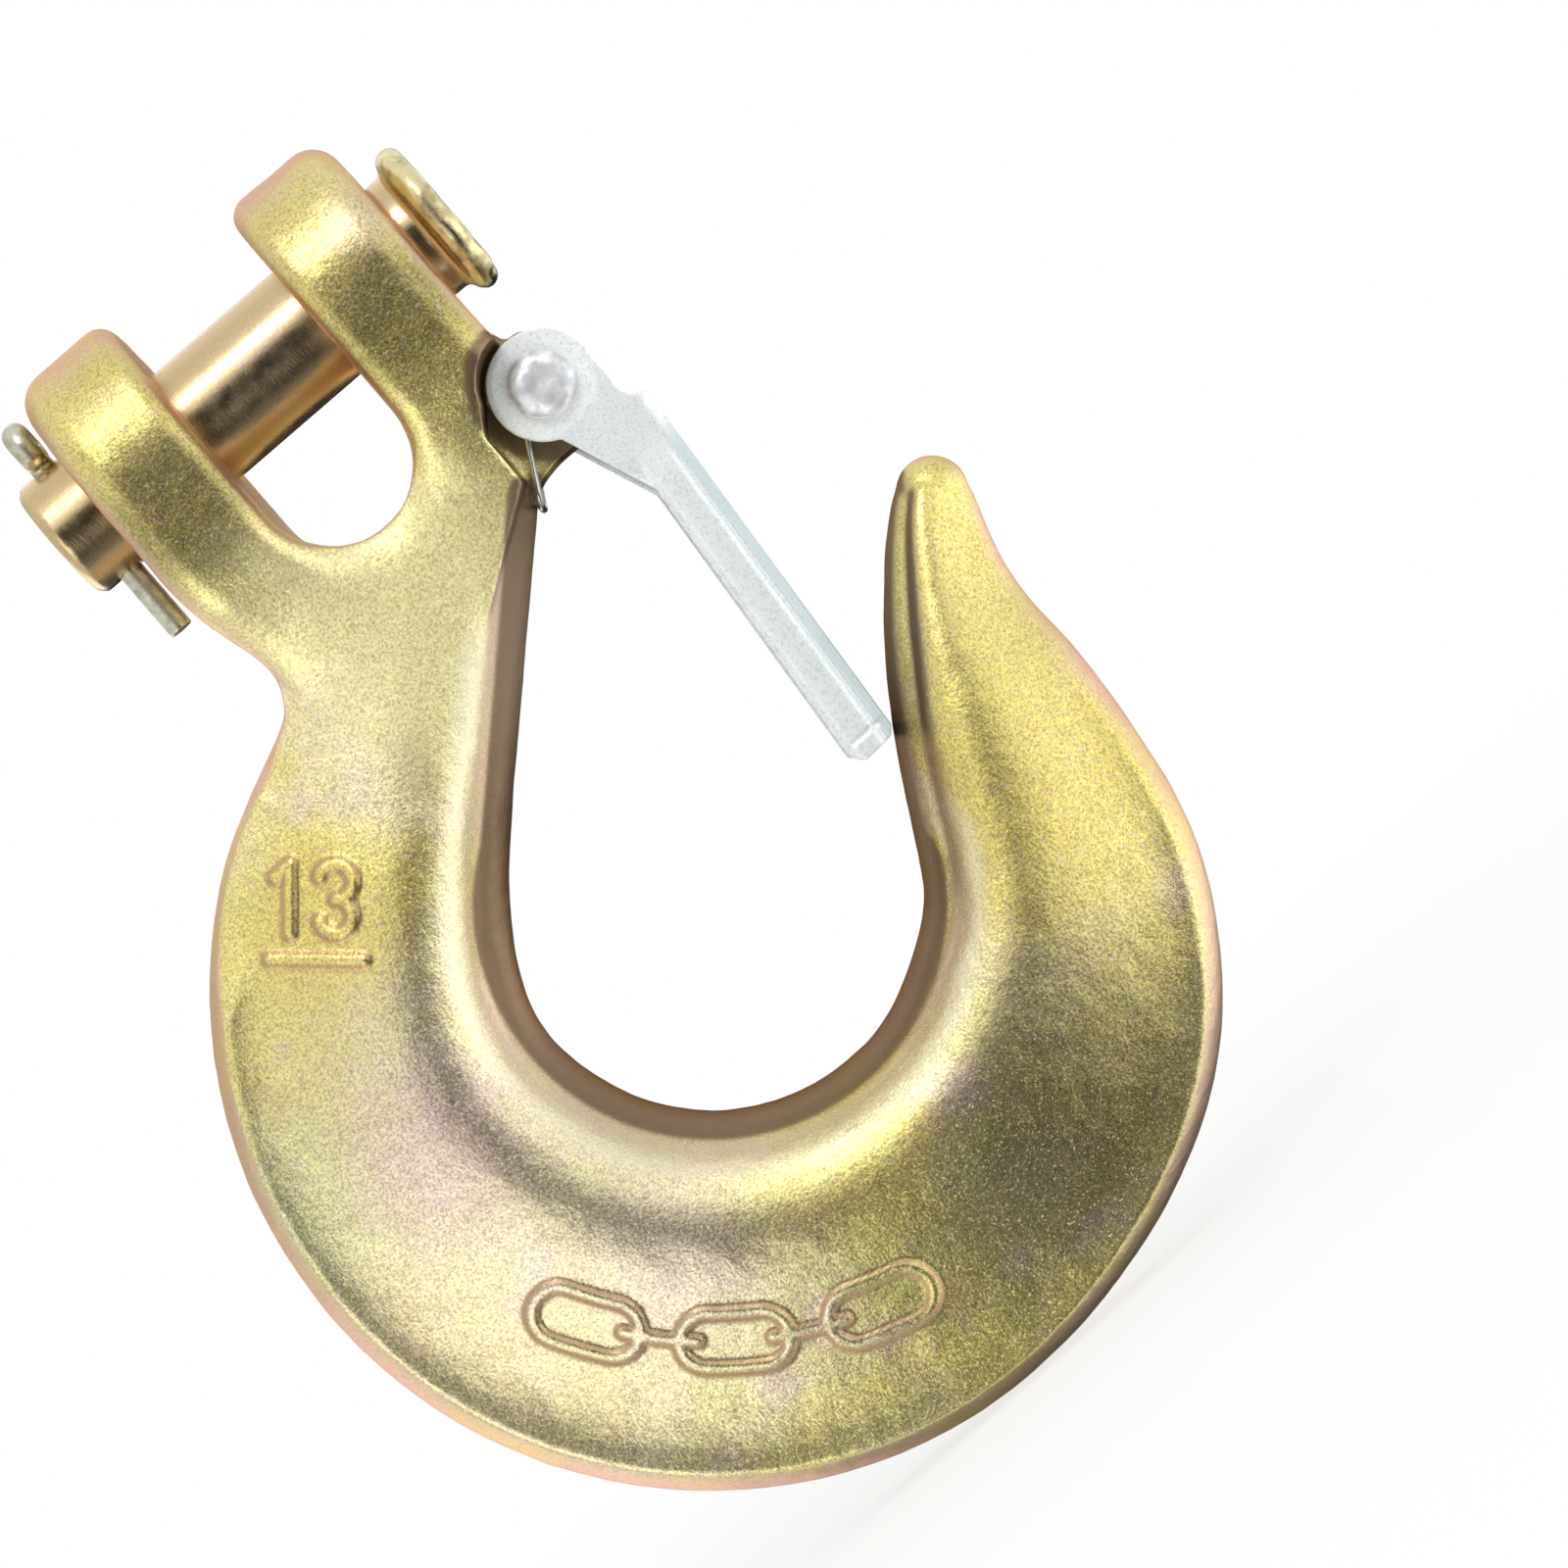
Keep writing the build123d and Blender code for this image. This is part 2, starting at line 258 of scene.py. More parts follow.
def neck_weights(points, normals):
    """1 on the faces of the neck, where the clevis runs into the bowl, and 0 away from it."""
    x = points[:, 0]
    z = points[:, 2]
    from_throat = throat_distance(x, z)
    weights = smoothstep(3.5 * MM, 8 * MM, from_throat)
    weights *= smoothstep(-56 * MM, -46 * MM, z)
    weights *= 1 - smoothstep(-27 * MM, -20 * MM, z)
    weights *= smoothstep(0.35, 0.7, np.abs(normals[:, 1]))
    return weights


# ---------------------------------------------------------------- raised marks

MARK_HEIGHT = 0.55 * MM
STROKE_HALF = 0.62 * MM
STROKE_SHOULDER = 0.42 * MM
NUMBER_CENTRE = (-36 * MM, -54 * MM)
LINK_RADIUS = 51 * MM
LINK_MIDDLE = math.radians(232.5)
LINK_STEP = 17.6 * MM
LINK_HALF = 3.2 * MM
LINK_ROUND = 3.3 * MM
BAR_HALF = 4.4 * MM


def arc_points(centre, radius, start, end, steps=14):
    """Points along an arc, angles in degrees."""
    turns = np.radians(np.linspace(start, end, steps))
    return [(centre[0] + radius * math.cos(t), centre[1] + radius * math.sin(t)) for t in turns]


def line_distance(u, v, path):
    """How far each point is from a bent stroke."""
    nearest = np.full(len(u), 1.0)
    for start, end in zip(path[:-1], path[1:]):
        nearest = np.minimum(nearest, segment_distance(u, v, start, end))
    return nearest


def number_strokes():
    """The strokes of a plain size number with a line under it, in millimetres about its centre."""
    one = [(-5.0, 4.9), (-3.2, 6.6), (-3.2, -1.6)]
    three_top = arc_points((2.3, 4.5), 2.1, 165, -88)
    three_low = arc_points((2.3, 0.45), 2.05, 88, -165)
    under = [(-5.6, -4.6), (5.6, -4.6)]
    return [one, three_top + three_low, under]


def number_distance(points):
    """How far each point is from the raised number, which stands upright in the picture."""
    x = points[:, 0] - NUMBER_CENTRE[0]
    z = points[:, 2] - NUMBER_CENTRE[1]
    u = x * math.cos(PICTURE_TURN) - z * math.sin(PICTURE_TURN)
    v = x * math.sin(PICTURE_TURN) + z * math.cos(PICTURE_TURN)
    nearest = np.full(len(points), 1.0)
    for stroke in number_strokes():
        path = [(a * MM, b * MM) for a, b in stroke]
        nearest = np.minimum(nearest, line_distance(u, v, path))
    return nearest


def level_stroke(u, v, middle, half):
    """How far each point is from a short level stroke."""
    return segment_distance(u, v, (middle - half, 0), (middle + half, 0))


def link_distance(points):
    """How far each point is from a row of plain chain links that follows the bowl."""
    x = points[:, 0] - BOWL_CENTRE[0]
    z = points[:, 2] - BOWL_CENTRE[1]
    turn = np.mod(np.arctan2(z, x), 2 * math.pi) - LINK_MIDDLE
    u = turn * LINK_RADIUS
    v = np.hypot(x, z) - LINK_RADIUS
    nearest = np.full(len(points), 1.0)
    for step in (-1, 0, 1):
        to_line = level_stroke(u, v, step * LINK_STEP, LINK_HALF)
        nearest = np.minimum(nearest, np.abs(to_line - LINK_ROUND))
    for step in (-0.5, 0.5):
        nearest = np.minimum(nearest, level_stroke(u, v, step * LINK_STEP, BAR_HALF))
    return nearest


def mark_rise(points, normals):
    """How far the marks lift the hook's front face at each point, and how much it is a mark's side, where
    the material paints shade.
    """
    nearest = np.minimum(number_distance(points), link_distance(points))
    lift = 1 - smoothstep(STROKE_HALF - STROKE_SHOULDER / 2, STROKE_HALF + STROKE_SHOULDER, nearest)
    front = smoothstep(0.6, 0.8, -normals[:, 1])
    edge = STROKE_HALF + STROKE_SHOULDER / 2
    sides = 1 - smoothstep(0.2 * MM, 0.6 * MM, np.abs(nearest - edge))
    return MARK_HEIGHT * lift * front, sides * front


# ---------------------------------------------------------------- node helpers


def add(tree, kind, inputs=None, **settings):
    """A new node. Settings are its own properties; inputs are values, or sockets to link."""
    node = tree.nodes.new(kind)
    for key, value in settings.items():
        setattr(node, key, value)
    for key, value in (inputs or {}).items():
        if isinstance(value, bpy.types.NodeSocket):
            tree.links.new(value, node.inputs[key])
        else:
            node.inputs[key].default_value = value
    return node


def calc(tree, operation, first, second=0.0, third=0.0):
    """The result of one Math node."""
    node = add(tree, "ShaderNodeMath", {0: first, 1: second, 2: third}, operation=operation)
    return node.outputs[0]


def fade(tree, value, low, high, to_low=0.0, to_high=1.0):
    """Smoothly turns low..high into to_low..to_high."""
    inputs = {"Value": value, "From Min": low, "From Max": high, "To Min": to_low, "To Max": to_high}
    return add(tree, "ShaderNodeMapRange", inputs, interpolation_type="SMOOTHSTEP").outputs[0]


def mix(tree, share, first, second, blend="MIX"):
    """The colour between first and second."""
    node = add(tree, "ShaderNodeMix", data_type="RGBA", blend_type=blend)
    for index, value in ((0, share), (6, first), (7, second)):
        if isinstance(value, bpy.types.NodeSocket):
            tree.links.new(value, node.inputs[index])
        else:
            node.inputs[index].default_value = value
    return node.outputs[2]


def colour(red, green, blue):
    """A colour with full alpha."""
    return (red, green, blue, 1.0)


def noise(tree, where, size, detail=2.0, roughness=0.5):
    """Noise from 0 to 1 whose blobs are about `size` across."""
    inputs = {"Vector": where, "Scale": 1 / size, "Detail": detail, "Roughness": roughness}
    return add(tree, "ShaderNodeTexNoise", inputs).outputs["Fac"]


def stretched(tree, where, factors):
    """Coordinates scaled differently along each axis, for brushed or drawn marks."""
    return add(tree, "ShaderNodeMapping", {"Vector": where, "Scale": factors}).outputs[0]


def bump(tree, height, distance, under=None):
    """A bumped normal. `distance` is the height of the bumps."""
    inputs = {"Height": height, "Distance": distance, "Strength": 1.0}
    if under is not None:
        inputs["Normal"] = under
    return add(tree, "ShaderNodeBump", inputs).outputs[0]


def new_material(name):
    """An empty node material: its tree and its object-space coordinates."""
    material = bpy.data.materials.new(name)
    material.use_nodes = True
    tree = material.node_tree
    tree.nodes.clear()
    where = add(tree, "ShaderNodeTexCoord").outputs["Object"]
    return material, tree, where


def finish_metal(tree, base, roughness, normal, metallic=1.0, rim=(1.0, 1.0, 1.0, 1.0)):
    """Ends a material with a metal surface. `rim` tints it where it is seen edge on."""
    inputs = {"Base Color": base, "Roughness": roughness, "Normal": normal, "Metallic": metallic}
    inputs["Specular Tint"] = rim
    surface = add(tree, "ShaderNodeBsdfPrincipled", inputs)
    add(tree, "ShaderNodeOutputMaterial", {"Surface": surface.outputs[0]})


# ---------------------------------------------------------------- materials

GOLD = colour(0.90, 0.76, 0.25)
LIME = colour(0.86, 0.84, 0.26)
PALE = colour(0.92, 0.82, 0.46)
PINK = colour(0.86, 0.68, 0.60)


def chromate_colour(tree, where):
    """The drifting gold, lime and pink of a yellow chromate film."""
    broad = noise(tree, where, 24 * MM, 2.0)
    small = noise(tree, where, 7 * MM, 3.0)
    film = mix(tree, fade(tree, broad, 0.36, 0.64, 0.0, 0.7), GOLD, PALE)
    film = mix(tree, fade(tree, small, 0.50, 0.72, 0.0, 0.55), film, LIME)
    shifted = stretched(tree, where, (1.0, 1.0, 1.4))
    pink_patch = noise(tree, shifted, 15 * MM, 3.0)
    return mix(tree, fade(tree, pink_patch, 0.52, 0.70, 0.0, 0.75), film, PINK)


def near_point(tree, where, centre, wide, core, level):
    """`level` within `core` of a point, as seen along Y, and 0 farther from it than `wide`."""
    offset = add(tree, "ShaderNodeVectorMath", {0: where, 1: centre}, operation="SUBTRACT").outputs[0]
    flat = add(tree, "ShaderNodeVectorMath", {0: offset, 1: (1, 0, 1)}, operation="MULTIPLY").outputs[0]
    away = add(tree, "ShaderNodeVectorMath", {0: flat}, operation="LENGTH").outputs["Value"]
    return fade(tree, away, core, wide, level, 0.0)


NECK_CENTRE = (-5 * MM, 0, -34 * MM)


def hook_film(tree, where, grain):
    """The hook's film: gold at the clevis and the tip, paler and pinker on the back of the bowl, with
    painted light on the neck and painted dark reflection low on the bowl and on the clevis ears' faces.
    """
    film = chromate_colour(tree, where)
    # Each patch has a centre, the radius where it ends and where it is full, its share and its colour.
    patches = (
        ((-48 * MM, 0, -98 * MM), 50 * MM, 14 * MM, 0.55, colour(0.80, 0.69, 0.55)),
        ((-62 * MM, 0, -78 * MM), 19 * MM, 5 * MM, 0.50, colour(0.64, 0.68, 0.34)),
        ((-43 * MM, 0, -84 * MM), 16 * MM, 4 * MM, 0.50, colour(0.74, 0.54, 0.52)),
        ((-30 * MM, 0, -112 * MM), 15 * MM, 3 * MM, 0.45, colour(0.86, 0.70, 0.66)),
        ((-20 * MM, 0, -46 * MM), 12 * MM, 2 * MM, 0.35, colour(0.94, 0.78, 0.70)),
        ((NUMBER_CENTRE[0], 0, NUMBER_CENTRE[1]), 14 * MM, 4 * MM, 0.5, colour(0.88, 0.68, 0.18)),
        ((48 * MM, 0, -88 * MM), 38 * MM, 16 * MM, 0.75, colour(0.74, 0.60, 0.17)),
        ((0, 0, 8 * MM), 33 * MM, 12 * MM, 0.80, colour(0.68, 0.56, 0.17)),
        # A pale patch of painted light on the neck.
        (NECK_CENTRE, 30 * MM, 9 * MM, 0.85, colour(1.0, 0.90, 0.46)),
        # The next three patches are painted dark reflection: low on the bowl below the tip, and on the
        # front faces of the two clevis ears.
        ((20 * MM, 0, -126 * MM), 30 * MM, 6 * MM, 0.62, colour(0.26, 0.21, 0.12)),
        ((-17 * MM, 0, -8 * MM), 12 * MM, 4 * MM, 0.80, colour(0.26, 0.21, 0.07)),
        ((18 * MM, 0, -7 * MM), 12 * MM, 4 * MM, 0.80, colour(0.26, 0.21, 0.07)),
    )
    for centre, wide, core, level, tone in patches:
        film = mix(tree, near_point(tree, where, centre, wide, core, level), film, tone)
    film = mix(tree, 1.0, film, fade(tree, grain, 0.30, 0.64, 0.55, 1.24), "MULTIPLY")
    blush = noise(tree, where, 0.8 * MM, 3.0, 0.7)
    film = mix(tree, fade(tree, blush, 0.52, 0.70, 0.0, 0.40), film, colour(0.86, 0.66, 0.62))
    return mix(tree, fade(tree, blush, 0.48, 0.32, 0.0, 0.35), film, colour(0.84, 0.90, 0.40))


def forged_zinc():
    """Rough forged steel under a yellow chromate film, for the hook."""
    material, tree, where = new_material("forged_zinc")
    grain = noise(tree, where, 0.36 * MM, 4.0, 0.72)
    coarse = noise(tree, where, 1.0 * MM, 3.0, 0.6)
    film = hook_film(tree, where, grain)
    # A painted highlight, pale cream, along the rounded crest beside the wall.
    crest = add(tree, "ShaderNodeAttribute", attribute_name="crest").outputs["Fac"]
    film = mix(tree, calc(tree, "MULTIPLY", crest, 0.5), film, colour(1.0, 0.94, 0.74))
    # Painted shade, dark brown, along the sides of the raised marks.
    marks = add(tree, "ShaderNodeAttribute", attribute_name="mark_side_shade").outputs["Fac"]
    film = mix(tree, calc(tree, "MULTIPLY", marks, 0.8), film, colour(0.46, 0.29, 0.15))
    normal = add(tree, "ShaderNodeNewGeometry").outputs["Normal"]
    depth = add(tree, "ShaderNodeSeparateXYZ", {0: normal}).outputs["Y"]
    side = fade(tree, calc(tree, "ABSOLUTE", depth), 0.40, 0.88, 1.0, 0.0)
    # On the flanks, seen edge on, the film turns a darker pink-brown: the hue drifts like the film's, and
    # the darkening is painted shade.
    drift = noise(tree, where, 13 * MM, 3.0)
    flank = mix(tree, fade(tree, drift, 0.42, 0.60), colour(0.70, 0.48, 0.41), colour(0.70, 0.57, 0.30))
    film = mix(tree, calc(tree, "MULTIPLY", side, 0.75), film, flank)
    # Painted shade, near black-brown, on the narrow wall that faces into the bowl and the throat, on the
    # tip's outer facet and in the recess round the latch's disc.
    wall = add(tree, "ShaderNodeAttribute", attribute_name="wall").outputs["Fac"]
    film = mix(tree, calc(tree, "MULTIPLY", wall, 0.88), film, colour(0.22, 0.15, 0.10))
    flat = calc(tree, "MAXIMUM", side, wall)
    rough = fade(tree, grain, 0.3, 0.7, 0.20, 0.11)
    rough = calc(tree, "ADD", rough, calc(tree, "MULTIPLY", flat, 0.22))
    bumped = bump(tree, coarse, 0.06 * MM)
    bumped = bump(tree, grain, fade(tree, flat, 0.0, 1.0, 0.060 * MM, 0.022 * MM), bumped)
    # Less metal on the neck, so its painted light patch shows as diffuse brightness.
    neck = near_point(tree, where, NECK_CENTRE, wide=28 * MM, core=8 * MM, level=0.58)
    rim = mix(tree, side, colour(1, 0.95, 0.85), colour(0.85, 0.62, 0.55))
    # The wall's edge-on tint is darkened too, as part of its painted shade.
    rim = mix(tree, wall, rim, colour(0.42, 0.30, 0.24))
    glint = fade(tree, noise(tree, where, 0.34 * MM, 2.0, 0.6), 0.60, 0.68, 0.0, 0.72)
    glint = calc(tree, "MULTIPLY", glint, calc(tree, "SUBTRACT", 1.0, flat))
    metal = calc(tree, "SUBTRACT", 0.95, calc(tree, "MAXIMUM", neck, glint))
    finish_metal(tree, film, rough, bumped, metal, rim)
    return material


def turned_zinc():
    """A smoother, pinker chromate film with faint rings, for the clevis pin."""
    material, tree, where = new_material("turned_zinc")
    film = chromate_colour(tree, where)
    film = mix(tree, 0.8, film, colour(0.60, 0.43, 0.26))
    worn = noise(tree, where, 2.4 * MM, 4.0, 0.6)
    film = mix(tree, fade(tree, worn, 0.50, 0.80, 0.0, 0.25), film, colour(0.62, 0.50, 0.34))
    speck = noise(tree, where, 0.35 * MM, 3.0, 0.7)
    film = mix(tree, fade(tree, speck, 0.50, 0.70, 0.0, 0.4), film, colour(0.84, 0.64, 0.52))
    across = add(tree, "ShaderNodeSeparateXYZ", {0: where}).outputs["X"]
    head = fade(tree, across, 26.2 * MM, 27.0 * MM)
    rim = mix(tree, fade(tree, worn, 0.40, 0.62), colour(0.84, 0.76, 0.42), colour(0.46, 0.40, 0.22))
    film = mix(tree, calc(tree, "MULTIPLY", head, 0.85), film, rim)
    rings = noise(tree, stretched(tree, where, (9.0, 1.0, 1.0)), 1.6 * MM, 3.0)
    rough = fade(tree, worn, 0.3, 0.7, 0.20, 0.28)
    bumped = bump(tree, rings, 0.012 * MM)
    bumped = bump(tree, speck, fade(tree, head, 0.0, 1.0, 0.016 * MM, 0.04 * MM), bumped)
    finish_metal(tree, film, rough, bumped)
    return material


def cotter_zinc():
    """Dull grey-green plated wire for the cotter pin."""
    material, tree, where = new_material("cotter_zinc")
    blotch = noise(tree, where, 1.6 * MM, 3.0, 0.6)
    film = mix(tree, fade(tree, blotch, 0.35, 0.65), colour(0.70, 0.68, 0.54), colour(0.48, 0.46, 0.36))
    rough = fade(tree, blotch, 0.3, 0.7, 0.26, 0.44)
    bumped = bump(tree, noise(tree, where, 0.5 * MM, 3.0), 0.05 * MM)
    finish_metal(tree, film, rough, bumped)
    return material


def satin_zinc():
    """Pale blue-white zinc on pressed sheet, for the latch."""
    material, tree, where = new_material("satin_zinc")
    cloud = noise(tree, where, 9 * MM, 4.0, 0.6)
    film = mix(tree, fade(tree, cloud, 0.35, 0.68), colour(0.95, 0.99, 0.97), colour(0.86, 0.92, 0.92))
    # Painted shade, blue-grey, along the arm's rolled outer edge.
    edge = add(tree, "ShaderNodeAttribute", attribute_name="outer_edge_shade").outputs["Fac"]
    film = mix(tree, calc(tree, "MULTIPLY", edge, 0.75), film, colour(0.50, 0.60, 0.62))
    speckle = noise(tree, where, 0.35 * MM, 2.0)
    film = mix(tree, fade(tree, speckle, 0.45, 0.75, 0.0, 0.55), film, colour(0.50, 0.58, 0.60))
    rough = fade(tree, cloud, 0.3, 0.7, 0.40, 0.50)
    bumped = bump(tree, speckle, 0.012 * MM)
    bumped = bump(tree, cloud, 0.03 * MM, bumped)
    disc = near_point(tree, where, (PIVOT[0], 0, PIVOT[1]), wide=7.4 * MM, core=5.6 * MM, level=0.35)
    finish_metal(tree, film, rough, bumped, calc(tree, "SUBTRACT", 0.45, disc))
    return material


def bright_steel():
    """Bright hammered steel for the rivet."""
    material, tree, where = new_material("bright_steel")
    cloud = noise(tree, where, 2.2 * MM, 3.0, 0.6)
    film = mix(tree, fade(tree, cloud, 0.35, 0.65), colour(1.0, 1.0, 0.99), colour(0.62, 0.64, 0.66))
    rough = fade(tree, cloud, 0.3, 0.7, 0.30, 0.42)
    bumped = bump(tree, noise(tree, where, 0.6 * MM, 3.0), 0.04 * MM)
    finish_metal(tree, film, rough, bumped, 0.5)
    return material


def spring_steel():
    """Drawn steel wire with fine lines, for the spring."""
    material, tree, where = new_material("spring_steel")
    streak = noise(tree, where, 0.5 * MM, 3.0, 0.6)
    film = mix(tree, streak, colour(0.52, 0.52, 0.50), colour(0.74, 0.74, 0.72))
    bumped = bump(tree, streak, 0.01 * MM)
    finish_metal(tree, film, 0.26, bumped)
    return material


# ---------------------------------------------------------------- pieces


def dress(piece, material, node, body):
    """Gives a piece its finish, and lets it stand for a CAD node on its body."""
    piece.data.materials.clear()
    piece.data.materials.append(material)
    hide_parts(node)
    if body:
        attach(piece, body)


def forge_hook():
    """The hook with a forged skin and raised marks, smooth inside the bore where the pin runs."""
    hook = copy_of("hook_body", "forged_hook")
    remesh(hook, voxel=0.42 * MM, softness=0.5, passes=3)
    points = points_of(hook)
    normals = normals_of(hook)
    relax(hook, points, neck_weights(points, normals), rounds=420, axes=(1,))
    from_step = np.hypot(points[:, 0] - SHOULDER_STEP[0], points[:, 2] - SHOULDER_STEP[1])
    relax(hook, points, 1 - smoothstep(2.5 * MM, 6 * MM, from_step), rounds=60, axes=(0, 1, 2))
    tighten_recess(points)
    set_points(hook, points)
    normals = normals_of(hook)
    skin = 0.13 * MM * lumps(points, size=4.3 * MM, seed=1)
    skin += 0.055 * MM * lumps(points, size=1.5 * MM, seed=2)
    from_axis = np.hypot(points[:, 1], points[:, 2])
    bore = smoothstep(RELIEF_FROM, RELIEF_TO, from_axis)
    from_pivot = np.hypot(points[:, 0] - PIVOT[0], points[:, 2] - PIVOT[1])
    recess = smoothstep(RELIEF_FROM, RELIEF_TO, from_pivot)
    points += normals * (skin * bore * recess)[:, None]
    rise, sides = mark_rise(points, normals)
    points[:, 1] -= rise
    set_points(hook, points)
    keep_value(hook, "mark_side_shade", sides)
    # The recess round the latch's disc joins the wall's painted shade.
    recess_floor = 1 - smoothstep(8.4 * MM, 9.1 * MM, from_pivot)
    keep_value(hook, "crest", crest_highlight_share(points))
    keep_value(hook, "wall", np.maximum(wall_share(points, normals), recess_floor))
    dress(hook, forged_zinc(), "hook_body", "hook")


def make_pin():
    """The clevis pin, with a slightly dented head."""
    pin = copy_of("clevis_pin", "turned_pin")
    remesh(pin, voxel=0.35 * MM, softness=0.5, passes=2)
    points = points_of(pin)
    normals = normals_of(pin)
    head = smoothstep(26.4 * MM, 27.2 * MM, points[:, 0])
    dents = 0.55 * MM * lumps(points, size=3.0 * MM, seed=3)
    dents += 0.22 * MM * lumps(points, size=1.4 * MM, seed=4)
    dents = np.minimum(dents, 0.02 * MM)
    points += normals * (dents * head)[:, None]
    set_points(pin, points)
    dress(pin, turned_zinc(), "clevis_pin", "clevis_pin")


def make_cotter():
    """The cotter pin of bent half-round wire."""
    cotter = copy_of("cotter_pin", "bent_cotter")
    remesh(cotter, voxel=0.16 * MM, softness=0.5, passes=2)
    dress(cotter, cotter_zinc(), "cotter_pin", "cotter")


ARM_OUTER = ((33.6 * MM, -32 * MM), (29.7 * MM, -80.5 * MM))
ARM_INNER = ((26.7 * MM, -41.5 * MM), (23.4 * MM, -80.2 * MM))
ARM_HALF = 3.3 * MM
DISC_RADIUS = 6.65 * MM


def side_of(points, line):
    """How far each point is to the left of a line that runs down, across the latch's face."""
    (x0, z0), (x1, z1) = line
    length = math.hypot(x1 - x0, z1 - z0)
    return ((points[:, 0] - x0) * (z1 - z0) - (points[:, 2] - z0) * (x1 - x0)) / length


def groove(distance, middle, width, depth):
    """How deep a rounded groove is, at each distance."""
    return depth * np.exp(-(((distance - middle) / width) ** 2))


def press_latch(points):
    """How far in the pressed faces sink: a crowned arm with a groove, and a rolled rim."""
    from_outer = side_of(points, ARM_OUTER)
    from_inner = -side_of(points, ARM_INNER)
    below = smoothstep(36 * MM, 43 * MM, -points[:, 2])
    sink = 0.42 * MM * ((from_outer - ARM_HALF) / ARM_HALF) ** 2
    sink = np.minimum(sink, 0.6 * MM)
    sink += groove(from_outer, middle=1.75 * MM, width=0.35 * MM, depth=0.22 * MM)
    roll = smoothstep(0, 1.1 * MM, 1.1 * MM - from_inner)
    sink += 0.42 * MM * roll
    from_end = points[:, 2] - ARM_OUTER[1][1]
    sink += groove(from_end, middle=1.2 * MM, width=0.30 * MM, depth=0.30 * MM)
    sink *= below
    around = np.hypot(points[:, 0] - PIVOT[0], points[:, 2] - PIVOT[1])
    rim = smoothstep(DISC_RADIUS - 0.9 * MM, DISC_RADIUS + 0.1 * MM, around)
    rightward = points[:, 0] - PIVOT[0] + 0.7 * (points[:, 2] - PIVOT[1]) - 3 * MM
    upper_left = smoothstep(2 * MM, -2 * MM, rightward)
    return sink + 0.30 * MM * rim * upper_left * (1 - below)


def make_latch():
    """The latch of pressed sheet with rolled edges."""
    latch = copy_of("latch", "pressed_latch")
    remesh(latch, voxel=0.18 * MM, softness=0.5, passes=5)
    points = points_of(latch)
    outside = smoothstep(8.0 * MM, 8.8 * MM, np.abs(points[:, 1]))
    points[:, 1] -= np.sign(points[:, 1]) * press_latch(points) * outside
    set_points(latch, points)
    from_outer = side_of(points, ARM_OUTER)
    # Where the latch's material paints shade along the arm's outer edge.
    beside_arm = smoothstep(34 * MM, 40 * MM, -points[:, 2])
    keep_value(latch, "outer_edge_shade", beside_arm * (1 - smoothstep(0.9 * MM, 1.6 * MM, from_outer)))
    dress(latch, satin_zinc(), "latch", "latch")


def make_rivet():
    """The rivet, with hammer facets on its heads."""
    rivet = copy_of("latch_rivet", "hammered_rivet")
    remesh(rivet, voxel=0.2 * MM, softness=0.5, passes=2)
    points = points_of(rivet)
    normals = normals_of(rivet)
    head = smoothstep(9.4 * MM, 9.9 * MM, np.abs(points[:, 1]))
    facets = 0.36 * MM * lumps(points, size=1.7 * MM, seed=5)
    points += normals * (np.minimum(facets, 0.03 * MM) * head)[:, None]
    set_points(rivet, points)
    dress(rivet, bright_steel(), "latch_rivet", "hook")


def make_spring():
    """The torsion spring, smooth shaded and attached to no body."""
    spring = copy_of("latch_spring", "torsion_spring")
    spring.data.polygons.foreach_set("use_smooth", [True] * len(spring.data.polygons))
    dress(spring, spring_steel(), "latch_spring", None)
    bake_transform(spring)


# ---------------------------------------------------------------- stage, light and camera

VIEW_CENTRE = Vector((15.6 * MM, 0.0, -77.6 * MM))
VIEW_WIDTH = 186 * MM
VIEW_DISTANCE = 600 * MM
FLOOR_MIDDLE = -7 * MM
FLOOR_RADIUS = 2.2
FLOOR_GAP = 0.2 * MM
PICTURE_RIGHT = Vector((math.cos(PICTURE_TURN), 0, -math.sin(PICTURE_TURN)))
PICTURE_UP = Vector((math.sin(PICTURE_TURN), 0, math.cos(PICTURE_TURN)))


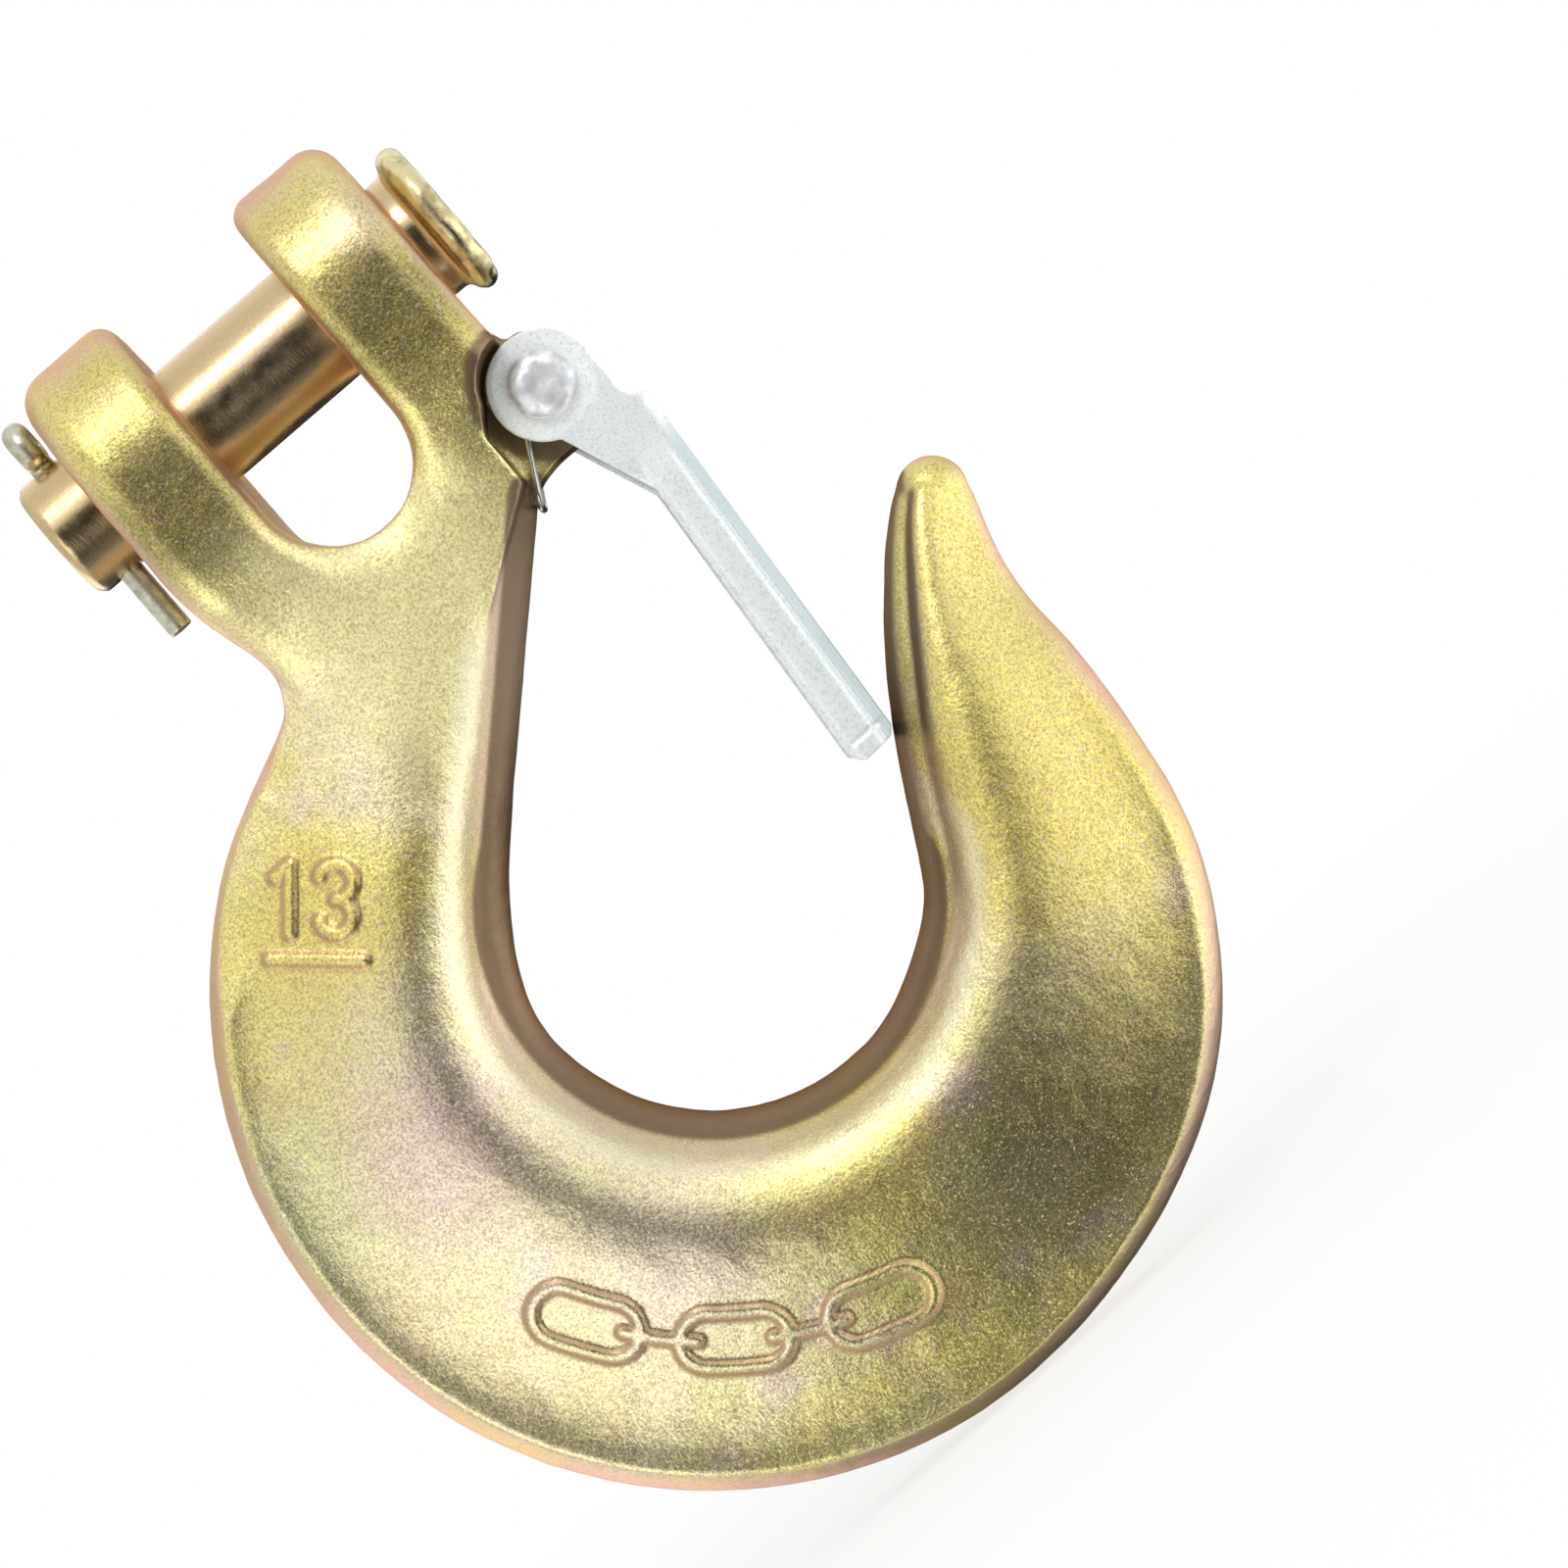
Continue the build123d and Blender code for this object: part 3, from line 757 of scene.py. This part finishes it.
def make_floor():
    """A pale round floor at the hook's lowest point, which fades into the white surroundings."""
    rings = 24
    spokes = 96
    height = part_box("hook_body")[0][2] - FLOOR_GAP
    corners = [(FLOOR_MIDDLE, 0.0, height)]
    for ring in range(1, rings + 1):
        radius = FLOOR_RADIUS * (ring / rings) ** 2
        for spoke in range(spokes):
            turn = 2 * math.pi * spoke / spokes
            corners.append((FLOOR_MIDDLE + radius * math.cos(turn), radius * math.sin(turn), height))
    faces = [(0, 1 + s, 1 + (s + 1) % spokes) for s in range(spokes)]
    for ring in range(1, rings):
        inner = 1 + (ring - 1) * spokes
        outer = inner + spokes
        for s in range(spokes):
            e = (s + 1) % spokes
            faces.append((inner + s, outer + s, outer + e, inner + e))
    mesh = bpy.data.meshes.new("floor")
    mesh.from_pydata(corners, [], faces)
    floor = bpy.data.objects.new("floor", mesh)
    bpy.context.scene.collection.objects.link(floor)
    material, tree, where = new_material("pale_floor")
    away = add(tree, "ShaderNodeVectorMath", {0: where}, operation="LENGTH").outputs["Value"]
    cloud = noise(tree, where, 60 * MM, 3.0)
    paint = mix(tree, cloud, colour(0.9, 0.9, 0.89), colour(0.93, 0.93, 0.92))
    matt = add(tree, "ShaderNodeBsdfDiffuse", {"Color": paint})
    glow = add(tree, "ShaderNodeEmission", {"Color": colour(1, 1, 1), "Strength": 1.0})
    share = fade(tree, away, 0.12, 0.34, 0.72, 1.0)
    both = add(tree, "ShaderNodeMixShader", {0: share, 1: matt.outputs[0], 2: glow.outputs[0]})
    add(tree, "ShaderNodeOutputMaterial", {"Surface": both.outputs[0]})
    mesh.materials.append(material)
    floor.visible_glossy = False


def toward(tree, direction, target):
    """How closely a direction points at a target, as the cosine of the angle between them."""
    node = add(tree, "ShaderNodeVectorMath", {0: direction, 1: target}, operation="DOT_PRODUCT")
    return node.outputs["Value"]


def picture_direction(right, up):
    """A direction from the object towards the camera, tilted right and up by these degrees."""
    side = math.tan(math.radians(right))
    rise = math.tan(math.radians(up))
    return (Vector((0, -1, 0)) + PICTURE_RIGHT * side + PICTURE_UP * rise).normalized()


def spot(tree, direction, target, wide, core, level):
    """1 more than `wide` degrees from the target, and `level` within `core` degrees of it."""
    near = toward(tree, direction, target)
    return fade(tree, near, math.cos(math.radians(wide)), math.cos(math.radians(core)), 1.0, level)


# What the metal mirrors: degrees right and up of the camera's line, the angles where a spot ends and
# where it is full, and its level, which is a factor for a dark spot and an addition for a bright card.
DARK_SPOTS = (
    (0, -1, 24, 13, 0.02),
    (18, -13, 22, 10, 0.14),
    (38, -22, 27, 14, 0.03),
    (40, -52, 28, 12, 0.22),
    (-44, -8, 24, 8, 0.68),
)
BRIGHT_CARDS = (
    (40, 16, 16, 6, 0.5),
    (-16, -40, 26, 8, 0.7),
    (-24, 14, 14, 5, 0.3),
    (76, 55, 44, 15, 0.35),
    (80, 8, 42, 14, 0.40),
)


def make_world():
    """White surroundings. What the metal mirrors is darker behind the camera, with soft bright cards."""
    world = bpy.data.worlds.new("studio")
    bpy.context.scene.world = world
    world.use_nodes = True
    tree = world.node_tree
    tree.nodes.clear()
    direction = add(tree, "ShaderNodeTexCoord").outputs["Generated"]
    axes = add(tree, "ShaderNodeSeparateXYZ", {0: direction}).outputs
    ahead = calc(tree, "MULTIPLY", calc(tree, "ABSOLUTE", axes["Y"]), -1.0)
    direction = add(tree, "ShaderNodeCombineXYZ", {"X": axes["X"], "Y": ahead, "Z": axes["Z"]}).outputs[0]
    level = fade(tree, ahead, -0.8, 0.0, 0.98, 0.76)
    for right, up, wide, core, depth in DARK_SPOTS:
        shade = spot(tree, direction, picture_direction(right, up), wide, core, depth)
        level = calc(tree, "MULTIPLY", level, shade)
    above = toward(tree, direction, Vector((0, 0, 1)))
    level = calc(tree, "ADD", level, fade(tree, above, 0.2, 0.9, 0.0, 0.12))
    for right, up, wide, core, height in BRIGHT_CARDS:
        card = spot(tree, direction, picture_direction(right, up), wide, core, 1 + height)
        level = calc(tree, "ADD", level, card)
        level = calc(tree, "SUBTRACT", level, 1.0)
    seen = add(tree, "ShaderNodeLightPath").outputs["Is Camera Ray"]
    level = add(tree, "ShaderNodeMix", {0: seen, 2: level, 3: 1.0}, data_type="FLOAT").outputs[0]
    shine = add(tree, "ShaderNodeBackground", {"Color": colour(1, 1, 1), "Strength": level})
    add(tree, "ShaderNodeOutputWorld", {"Surface": shine.outputs[0]})


def make_light(name, right, up, distance, size, power):
    """A soft square light that faces the hook, placed by its angles from the camera's line."""
    data = bpy.data.lights.new(name, "AREA")
    data.size = size
    data.energy = power
    light = bpy.data.objects.new(name, data)
    bpy.context.scene.collection.objects.link(light)
    out = picture_direction(right, up)
    light.location = VIEW_CENTRE + out * distance
    light.rotation_mode = "QUATERNION"
    light.rotation_quaternion = out.to_track_quat("Z", "Y")


def make_camera():
    """Looks along +Y and is rolled, so the hook leans as it does in the photograph."""
    data = bpy.data.cameras.new("camera")
    data.sensor_width = 36.0
    data.lens = data.sensor_width * VIEW_DISTANCE / VIEW_WIDTH
    data.clip_start = 10 * MM
    data.clip_end = 20.0
    camera = bpy.data.objects.new("camera", data)
    bpy.context.scene.collection.objects.link(camera)
    turn = Matrix((PICTURE_RIGHT, PICTURE_UP, Vector((0, -1, 0)))).transposed()
    place = VIEW_CENTRE + Vector((0, -VIEW_DISTANCE, 0))
    camera.matrix_world = Matrix.Translation(place) @ turn.to_4x4()
    bpy.context.scene.camera = camera


bpy.context.scene.view_settings.view_transform = "Standard"
forge_hook()
make_pin()
make_cotter()
make_latch()
make_rivet()
make_spring()
make_floor()
make_world()
make_light("key", right=-34, up=40, distance=0.7, size=0.22, power=0.7)
make_camera()
